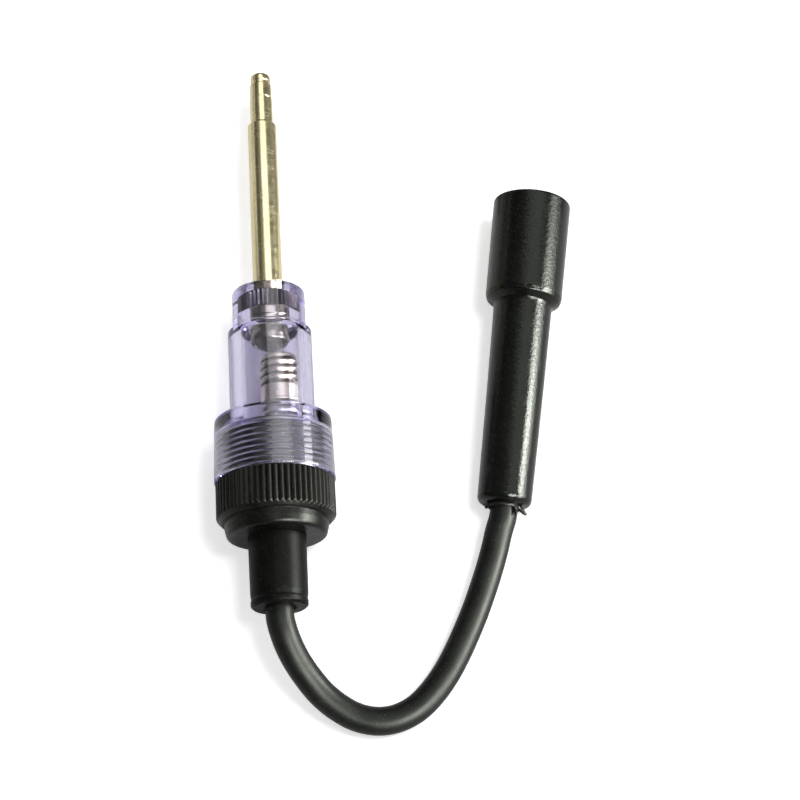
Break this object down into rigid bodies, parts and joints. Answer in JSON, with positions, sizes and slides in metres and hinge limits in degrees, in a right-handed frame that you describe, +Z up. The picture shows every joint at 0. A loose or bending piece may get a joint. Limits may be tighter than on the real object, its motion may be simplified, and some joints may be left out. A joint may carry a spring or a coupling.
{
  "type": "spark plug tester",
  "caption": "In-line ignition tester: a brass rod in a clear screw-off lamp housing on a knurled black cap, with a short lead to a rubber plug boot.",
  "frame": {"origin": "on the table under the middle of the rigid body, lead and boot left out", "axes": "+Y along the axis of the body towards the tip of the rod, +X to the right where the boot lies, +Z up from the table"},
  "size_m": [0.0791, 0.1475, 0.025],
  "materials": {
    "rod_plating": "bright yellow plating over turned metal",
    "clear_plastic": "clear polished plastic with a faint violet tint",
    "solder": "dull solder",
    "dark_glass": "dark fused glass",
    "nickel": "nickel plate",
    "bulb_glass": "clear glass",
    "electrode": "plain nickel wire",
    "spring_steel": "drawn spring wire",
    "contact_brass": "pressed brass",
    "black_plastic": "satin moulded black",
    "sleeve_plastic": "satin moulded black",
    "lead_rubber": "satin black",
    "conductor": "copper strands",
    "boot_rubber": "glossy moulded black rubber",
    "liner_rubber": "dull black",
    "socket_steel": "zinc plated sheet"
  },
  "bodies": {
    "cap": {"knurled_cap": "black_plastic", "neck_sleeve": "sleeve_plastic", "lead_terminal": "contact_brass", "lamp_spring": "spring_steel", "lead_jacket": "lead_rubber", "lead_core": "conductor", "plug_boot": "boot_rubber", "boot_liner": "liner_rubber", "socket_terminal": "socket_steel", "snap_ring": "spring_steel"},
    "lamp": {"lamp_contact": "solder", "lamp_insulator": "dark_glass", "lamp_shell": "nickel", "lamp_bulb": "bulb_glass", "electrode_left": "electrode", "electrode_right": "electrode"},
    "housing": {"clear_housing": "clear_plastic", "terminal_rod": "rod_plating"}
  },
  "joints": [
    {"name": "housing_lift", "type": "slide", "parent": "cap", "child": "lamp", "axis": [0, 1, 0], "range_m": [0, 0.00875], "deforming": ["lamp_spring"]},
    {"name": "housing_turn", "type": "hinge", "parent": "lamp", "child": "housing", "pos_m": [0, 0, 0.0125], "axis": [0, 1, 0], "range_deg": [0, 2530]}
  ],
  "couplings": [
    {"joint": "housing_turn", "follows": "housing_lift", "rad_per_m": 5026.5}
  ]
}
